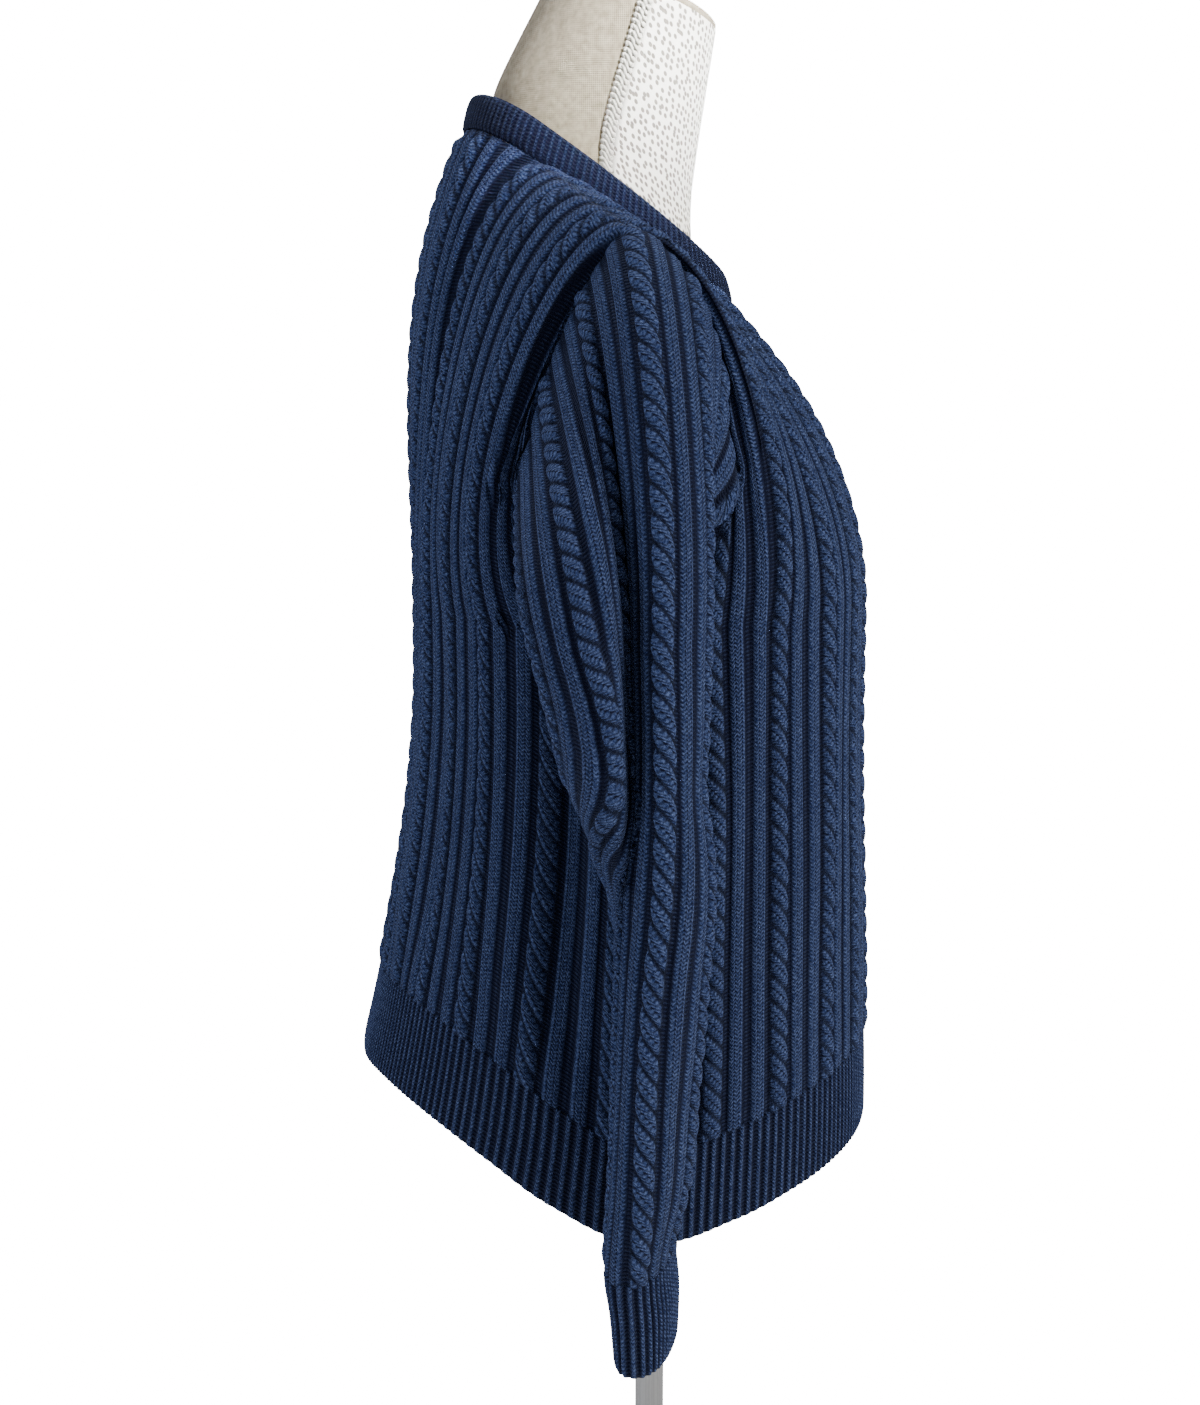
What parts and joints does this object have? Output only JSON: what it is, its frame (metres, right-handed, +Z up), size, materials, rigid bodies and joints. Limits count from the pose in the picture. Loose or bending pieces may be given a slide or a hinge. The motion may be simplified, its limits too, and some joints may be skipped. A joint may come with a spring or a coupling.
{
  "type": "aran sweater on a dress form",
  "caption": "Cable-knit crew-neck pullover with set-in sleeves and ribbed bands, worn by a limbless dress form on a round stand.",
  "frame": {"origin": "underside of the stand's base, below the middle of the shoulders; the base's own centre is 8.5 mm in front of it", "axes": "+Z up; the front of the sweater faces -Y and the wearer's right sleeve is at -X"},
  "size_m": [0.5784, 0.3117, 1.0022],
  "materials": {
    "navy_knit": "heathered navy cotton and wool knit, soft and matte",
    "navy_rib": "the same yarn in one-by-one rib",
    "linen_cloth": "plain natural linen stretched smooth",
    "steel_pole": "brushed tube",
    "painted_base": "dark satin paint"
  },
  "bodies": {
    "root": {"front_panel": "navy_knit", "back_panel": "navy_knit", "sleeve_right": "navy_knit", "sleeve_left": "navy_knit", "cuff_right": "navy_rib", "cuff_left": "navy_rib", "hem_front": "navy_rib", "hem_back": "navy_rib", "neckband": "navy_rib", "form_body": "linen_cloth", "form_cap": "linen_cloth", "stand_pole": "steel_pole", "stand_collar": "steel_pole", "stand_base": "painted_base"}
  },
  "joints": []
}
